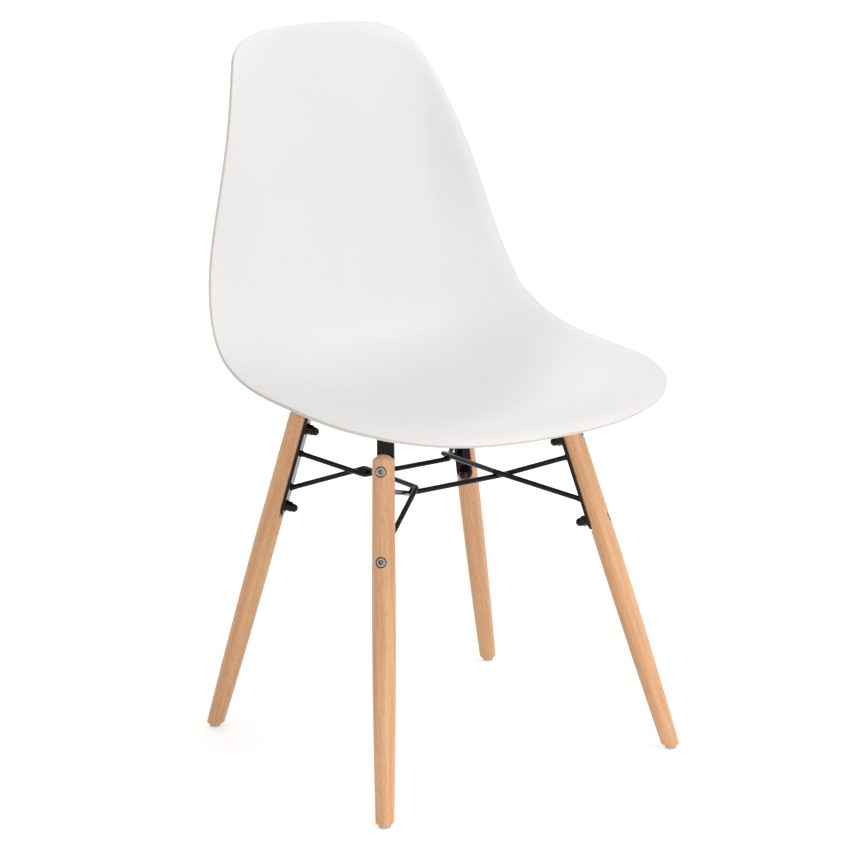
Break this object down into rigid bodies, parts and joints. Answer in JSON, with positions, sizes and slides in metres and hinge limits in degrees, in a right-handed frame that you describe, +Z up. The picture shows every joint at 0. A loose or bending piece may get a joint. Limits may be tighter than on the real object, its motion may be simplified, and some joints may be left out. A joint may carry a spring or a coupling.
{
  "type": "shell chair",
  "caption": "Side chair with a one-piece moulded plastic seat and back shell on splayed turned wooden legs, joined by flat steel brackets and bent wire cross-bracing",
  "frame": {"origin": "on the floor, below the middle of the chair's overall box", "axes": "the chair faces -Y, +X is to the left of a person who sits on it, +Z is up"},
  "size_m": [0.4538, 0.4709, 0.8178],
  "materials": {
    "shell_plastic": "fine satin white polypropylene",
    "beech": "clear satin lacquered beech",
    "black_steel": "black powder coat, semi-gloss",
    "black_fastener": "black plated steel",
    "bolt_nickel": "nickel plated steel",
    "screw_steel": "zinc plated steel",
    "brass": "knurled brass",
    "pad_rubber": "black rubber",
    "glide_plastic": "milky polyethylene"
  },
  "bodies": {
    "root": {"seat_shell": "shell_plastic", "seat_inserts": "brass", "seat_screws": "screw_steel", "seat_screw_washers": "screw_steel", "seat_pads": "pad_rubber", "bracket_front_left": "black_steel", "bracket_front_right": "black_steel", "bracket_rear_left": "black_steel", "bracket_rear_right": "black_steel", "wire_front": "black_steel", "wire_rear": "black_steel", "wire_left": "black_steel", "wire_right": "black_steel", "leg_front_left": "beech", "leg_front_right": "beech", "leg_rear_left": "beech", "leg_rear_right": "beech", "leg_bolts": "bolt_nickel", "leg_washers": "black_fastener", "cap_nuts": "black_fastener", "glides": "glide_plastic", "glide_nails": "screw_steel"}
  },
  "joints": []
}
